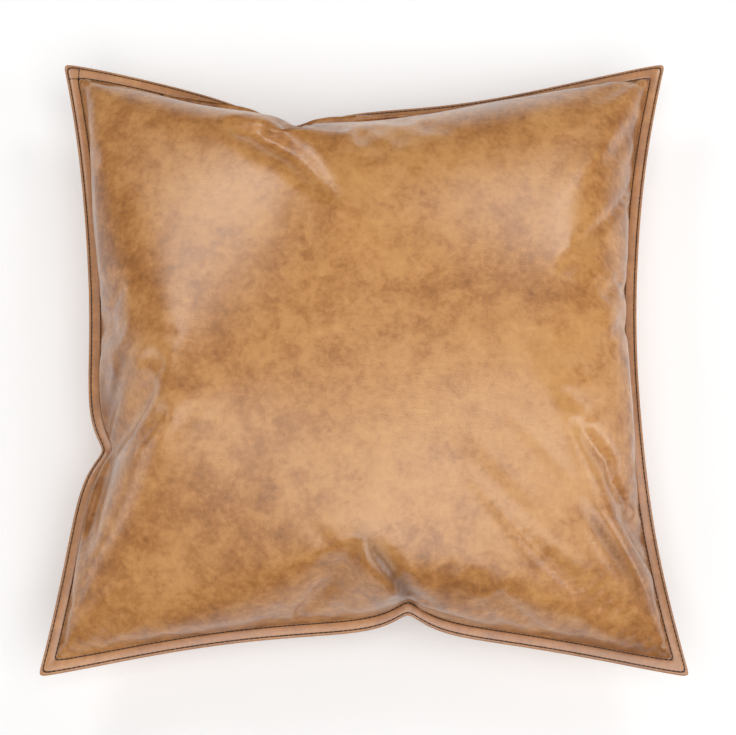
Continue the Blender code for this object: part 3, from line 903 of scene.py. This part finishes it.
def leather(name, offset):
    """Tan faux leather: mottled, darker towards the rim, with painted shade in the stitch grooves and in
    the dips beside the folds, and a fine pebble grain.
    """
    m = Nodes(name)
    here = m.stretched((1, 1, 1), location=offset)
    clouds = m.noise(11, 4, 0.5, 0.3, here)
    blotches = m.noise(66, 5, 0.62, 0.4, here)
    specks = m.noise(240, 4, 0.6, 0.3, here)
    tone = m.math("MULTIPLY", clouds, 0.36)
    tone = m.math("ADD", tone, m.math("MULTIPLY", blotches, 0.40))
    tone = m.math("ADD", tone, m.math("MULTIPLY", specks, 0.24))
    rim = m.attribute("rim")
    tone = m.math("SUBTRACT", tone, m.math("MULTIPLY", rim, 0.11))
    colour = m.ramp(
        tone,
        [
            (0.32, (0.290, 0.108, 0.028)),
            (0.43, (0.460, 0.192, 0.052)),
            (0.51, (0.580, 0.270, 0.084)),
            (0.60, (0.650, 0.322, 0.108)),
            (0.71, (0.700, 0.368, 0.135)),
        ],
    )
    edge = m.math("MULTIPLY", m.attribute("flange"), 0.40)
    colour = m.mix(edge, colour, (0.600, 0.310, 0.165))
    # Painted shade in the stitch grooves, from the "row" attribute.
    colour = m.mix(m.math("MULTIPLY", m.attribute("row"), 0.9), colour, (0.080, 0.032, 0.012))
    # Painted shade in the dips beside the folds, from the "crease" attribute.
    colour = m.mix(m.math("MULTIPLY", m.attribute("crease"), 0.85), colour, (0.130, 0.052, 0.020))
    wrinkles = m.noise(1.0, 4, 0.6, 0.8, m.stretched((120, 520, 300), location=offset))
    lines = m.add("TexVoronoi", {"Vector": here, "Scale": 620.0}, feature="DISTANCE_TO_EDGE")
    pebble = m.span(lines.outputs["Distance"], 0.0, 0.28)
    grain = m.noise(1500, 2, 0.6, 0.0, here)
    height = m.math("ADD", m.math("MULTIPLY", pebble, 0.5), m.math("MULTIPLY", grain, 0.3))
    height = m.math("ADD", height, m.math("MULTIPLY", wrinkles, 1.6))
    soft = m.bump(m.noise(24, 3, 0.5, 0.0, here), 0.0012, 0.5)
    return m.shade(
        Base_Color=colour,
        Roughness=m.span(m.math("ADD", blotches, grain), 0.75, 1.3, 0.29, 0.38),
        Normal=m.bump(height, 0.00010, 0.7, soft),
        Specular_IOR_Level=0.5,
        Coat_Weight=0.60,
        Coat_Roughness=0.27,
    )


def thread():
    """Waxed dark brown thread, twisted from fine strands."""
    m = Nodes("thread", 0.62)
    twist = m.add(
        "TexWave",
        {"Vector": m.place, "Scale": 900.0, "Distortion": 2.0, "Detail": 1.0},
        bands_direction="DIAGONAL",
    ).outputs["Fac"]
    colour = m.ramp(twist, [(0.1, (0.013, 0.007, 0.004)), (0.8, (0.048, 0.024, 0.014))])
    return m.shade(Base_Color=colour, Normal=m.bump(twist, 0.00008))


def woven(name, dark, light, pitch, along, across, roughness=0.85):
    """A plain weave whose yarns run along and across."""
    m = Nodes(name, roughness)
    bands = []
    for way in (along, across):
        dot = m.add("VectorMath", {0: m.place, 1: tuple(way)}, operation="DOT_PRODUCT")
        bands.append(m.math("MULTIPLY", dot.outputs["Value"], pi / pitch))
    over = m.math("MULTIPLY", m.math("SINE", bands[0]), m.math("SINE", bands[1]))
    ribs = m.math("ABSOLUTE", over)
    fuzz = m.noise(2600, 2, 0.6)
    share = m.math("ADD", m.math("MULTIPLY", ribs, 0.7), m.math("MULTIPLY", fuzz, 0.3))
    colour = m.ramp(share, [(0.1, dark), (0.75, light)])
    return m.shade(Base_Color=colour, Sheen_Weight=0.15, Normal=m.bump(share, 0.00012, 0.8))


def nylon():
    """Brown nylon wire, with a slightly uneven surface."""
    m = Nodes("zip_nylon")
    grain = m.noise(700, 3, 0.6)
    colour = m.ramp(grain, [(0.35, (0.110, 0.055, 0.030)), (0.65, (0.190, 0.100, 0.056))])
    return m.shade(
        Base_Color=colour, Roughness=m.span(grain, 0.3, 0.7, 0.34, 0.5), Normal=m.bump(grain, 0.00003)
    )


def antique_brass():
    """Brass with a brown patina, rubbed brighter in patches."""
    m = Nodes("zip_metal", 0.3, 1.0)
    patina = m.noise(190, 5, 0.62, 0.5)
    scratches = m.noise(1.0, 3, 0.6, 0.2, m.stretched((260, 2600, 2600)))
    colour = m.ramp(
        patina, [(0.36, (0.190, 0.120, 0.055)), (0.52, (0.520, 0.375, 0.190)), (0.7, (0.68, 0.52, 0.29))]
    )
    return m.shade(
        Base_Color=colour,
        Roughness=m.span(patina, 0.3, 0.7, 0.46, 0.24),
        Normal=m.bump(scratches, 0.00003, 0.6),
    )


def fibre():
    """Loose white polyester fibre."""
    m = Nodes("fibre_fill", 0.95)
    strands_noise = m.noise(420, 6, 0.7, 2.5)
    colour = m.ramp(strands_noise, [(0.3, (0.80, 0.80, 0.78)), (0.7, (0.95, 0.95, 0.94))])
    return m.shade(Base_Color=colour, Sheen_Weight=0.3, Normal=m.bump(strands_noise, 0.0008))


def paper():
    """The pale floor, which glows a little more where the lamps don't reach."""
    m = Nodes("floor", 0.9)
    away = m.add("VectorMath", {0: m.place}, operation="LENGTH").outputs["Value"]
    glow = m.span(away, 0.8, 2.6, 0.13, 0.72)
    return m.shade(
        Base_Color=(0.95, 0.95, 0.95), Emission_Color=(1.0, 1.0, 1.0), Emission_Strength=glow
    )


# Floor, light and camera.


def area_light(name, place, aim, size, power):
    light = bpy.data.lights.new(name, "AREA")
    light.shape = "RECTANGLE"
    light.size, light.size_y = size
    light.energy = power
    obj = bpy.data.objects.new(name, light)
    obj.location = place
    obj.rotation_euler = (Vector(place) - Vector(aim)).to_track_quat("Z", "Y").to_euler()
    bpy.context.scene.collection.objects.link(obj)


def studio():
    """A pale floor, a large soft lamp, two small ones for the sheen, and a strip on each side.

    The sky looks pale, but lights the pillow only faintly.
    """
    floor = mesh_object("floor", [(-6, -6, 0), (6, -6, 0), (6, 6, 0), (-6, 6, 0)], [(0, 1, 2, 3)])
    floor.data.materials.append(paper())
    aim = (0, 0, 0.08)
    area_light("key", (0.30, -1.00, 2.8), aim, (2.8, 2.8), 69)
    area_light("box_left", (-0.80, 0.80, 1.22), aim, (0.38, 0.46), 3.8)
    area_light("box_right", (0.74, 0.90, 1.15), aim, (0.34, 0.42), 3.6)
    area_light("strip_left", (-1.5, -0.25, 0.75), aim, (0.4, 1.2), 4)
    area_light("strip_right", (1.5, -0.25, 0.75), aim, (0.4, 1.2), 6)
    world = bpy.data.worlds.new("studio")
    world.use_nodes = True
    nodes, links = world.node_tree.nodes, world.node_tree.links
    background = nodes["Background"]
    background.inputs["Color"].default_value = (1, 1, 1, 1)
    strength = nodes.new("ShaderNodeMapRange")
    strength.inputs["To Min"].default_value, strength.inputs["To Max"].default_value = 0.06, 0.9
    seen = nodes.new("ShaderNodeLightPath").outputs["Is Camera Ray"]
    links.new(seen, strength.inputs["Value"])
    links.new(strength.outputs["Result"], background.inputs["Strength"])
    scene = bpy.context.scene
    scene.world = world
    scene.view_settings.view_transform = "Standard"


def photo_camera():
    """Looks down on the pillow from 12 degrees off the vertical."""
    camera = bpy.data.cameras.new("camera")
    camera.lens, camera.sensor_width = CAMERA_LENS, CAMERA_SENSOR
    obj = bpy.data.objects.new("camera", camera)
    back = Vector((0, -sin(CAMERA_TILT), cos(CAMERA_TILT)))
    obj.location = Vector(CAMERA_AIM) + back * CAMERA_DISTANCE
    obj.rotation_euler = back.to_track_quat("Z", "Y").to_euler()
    bpy.context.scene.collection.objects.link(obj)
    bpy.context.scene.camera = obj


# Everything together.


def dress(obj, material, body, *nodes):
    """The piece wears the material, rides on the body and stands for the CAD nodes."""
    obj.data.materials.append(material)
    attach(obj, body)
    if nodes:
        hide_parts(*nodes)
    return obj


def keep_node(node, material, bevel=0.0):
    """A CAD node whose shape is right keeps it, with a better material and softer edges."""
    obj = frame["nodes"][node]
    for spot in obj.material_slots:
        spot.material = material
    if not obj.material_slots:
        obj.data.materials.append(material)
    if bevel:
        edges = obj.modifiers.new("edges", "BEVEL")
        edges.width, edges.segments, edges.limit_method = bevel, 2, "ANGLE"


def build():
    start, flat, held = cover_start()
    sheets = inflate(start, flat, held, FRAMES)
    fine, fold_shade = shaped(sheets)
    front, back, hem = cover_panels(fine, fold_shade)
    dress(front, leather("front_leather", (0.3, 0.1, 0.0)), "cover", "front_panel")
    dress(back, leather("back_leather", (2.1, 0.7, 0.5)), "cover", "back_panel")
    dress(hem, leather("hem_leather", (4.2, 1.9, 0.9)), "cover", "back_hem_panel")

    dark_thread = thread()
    for sign, word in ((1, "front"), (-1, "back")):
        for inset, row in ((OUTER_ROW, "outer"), (INNER_ROW, "inner")):
            crosses = (row, word) == ("inner", "front")
            made = flange_row(f"{row}_stitches_{word}", sign, inset, crosses)
            dress(made, dark_thread, "cover", f"{row}_stitch_{word}")
    middle, zip_row, reach = CELLS, 2 * ZIP_ROW, 2 * SLOT_COLUMNS
    for row, word in ((zip_row + STITCH_ROWS, "upper"), (zip_row - STITCH_ROWS, "lower")):
        made = row_on_back(f"zip_stitches_{word}", fine[1], row, middle - reach, middle + reach)
        dress(made, dark_thread, "cover", f"zip_stitch_{word}")
    for side, word in ((-1, "left"), (1, "right")):
        dress(bar_tack(f"bar_tack_{word}", side), dark_thread, "cover", f"zip_bar_tack_{word}")
        seam_end = reach + TACK_CELLS
        span = (1, middle - seam_end) if side < 0 else (middle + seam_end, 2 * CELLS - 1)
        seam = row_on_back(f"back_seam_{word}", fine[1], zip_row, *span)
        dress(seam, dark_thread, "cover", f"back_seam_thread_{word}")

    wire = nylon()
    for side, word in ((-1, "upper"), (1, "lower")):
        dress(coil(f"coil_{word}", side), wire, "cover", f"zipper_coil_{word}")
    tape = woven(
        "zip_tape", (0.085, 0.040, 0.022), (0.230, 0.120, 0.066), 0.0007, ZIP_ALONG, ZIP_ACROSS
    )
    metal = antique_brass()
    for word in ("upper", "lower"):
        keep_node(f"zipper_tape_{word}", tape)
        keep_node(f"zipper_top_stop_{word}", metal, 0.0003)
    keep_node("zipper_bottom_stop", metal, 0.0003)
    keep_node("zipper_slider", metal, 0.00015)
    keep_node("zipper_pull_tab", metal, 0.00025)

    ticking = woven(
        "insert_ticking", (0.70, 0.69, 0.65), (0.90, 0.89, 0.86), 0.0008, (1, 0, 0), (0, 1, 0)
    )
    coarse = [sheet[::2, ::2] for sheet in fine]
    shells = shrunk(coarse, *SHELL)
    for k, word in enumerate(("front", "back")):
        shell = insert_sheet(f"insert_{word}", shells[k], k == 1)
        dress(shell, ticking, "cover", f"insert_{word}_shell")
    rim = ring(INSERT_SEAM, 0.0, 2)
    seam = strands("insert_seam", rim, np.roll(rim, -1, 0), np.tile((0, 0, 1), (len(rim), 1)), dip=0)
    dress(seam, dark_thread, "cover", "insert_seam_thread")
    fill = insert_fill(shrunk(coarse, *FILL))
    dress(fill, fibre(), "cover", "insert_fill")


build()
studio()
photo_camera()
